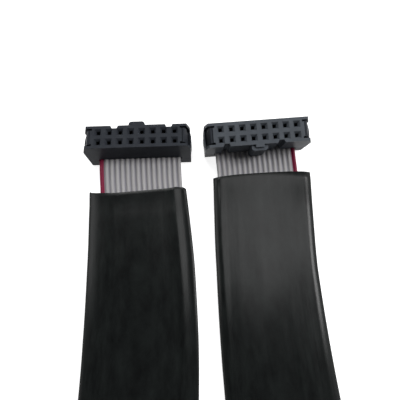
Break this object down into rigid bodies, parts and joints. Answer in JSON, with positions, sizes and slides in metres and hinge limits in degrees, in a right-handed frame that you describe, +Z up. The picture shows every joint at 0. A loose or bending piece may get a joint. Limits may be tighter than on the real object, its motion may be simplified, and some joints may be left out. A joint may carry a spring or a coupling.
{
  "type": "ribbon cable",
  "caption": "Flat grey ribbon cable in a slack black sleeve, with a two-row pin socket pressed on each end and one red edge wire.",
  "frame": {"origin": "on the table under the middle of end A's cover", "axes": "+X along the socket's rows from end A towards end B, +Y away from the ribbon, +Z up, out of the mating face"},
  "size_m": [0.0558, 0.145, 0.024],
  "materials": {
    "socket": "moulded glass-filled polyester, dark slate, satin",
    "cover": "moulded glass-filled polyester, near black, satin",
    "contact": "plated copper alloy strip, stamped and folded",
    "ribbon": "flexible PVC, grey, lengthwise grooves, one edge wire crimson",
    "sleeve": "soft charcoal PVC tube pressed flat, satin"
  },
  "bodies": {
    "root": {"body_a": "socket", "cover_a": "cover", "contact_a1": "contact", "contact_a2": "contact", "contact_a3": "contact", "contact_a4": "contact", "contact_a5": "contact", "contact_a6": "contact", "contact_a7": "contact", "contact_a8": "contact", "contact_a9": "contact", "contact_a10": "contact", "contact_a11": "contact", "contact_a12": "contact", "contact_a13": "contact", "contact_a14": "contact", "contact_a15": "contact", "contact_a16": "contact", "ribbon": "ribbon", "sleeve": "sleeve", "body_b": "socket", "cover_b": "cover", "contact_b1": "contact", "contact_b2": "contact", "contact_b3": "contact", "contact_b4": "contact", "contact_b5": "contact", "contact_b6": "contact", "contact_b7": "contact", "contact_b8": "contact", "contact_b9": "contact", "contact_b10": "contact", "contact_b11": "contact", "contact_b12": "contact", "contact_b13": "contact", "contact_b14": "contact", "contact_b15": "contact", "contact_b16": "contact"}
  },
  "joints": []
}
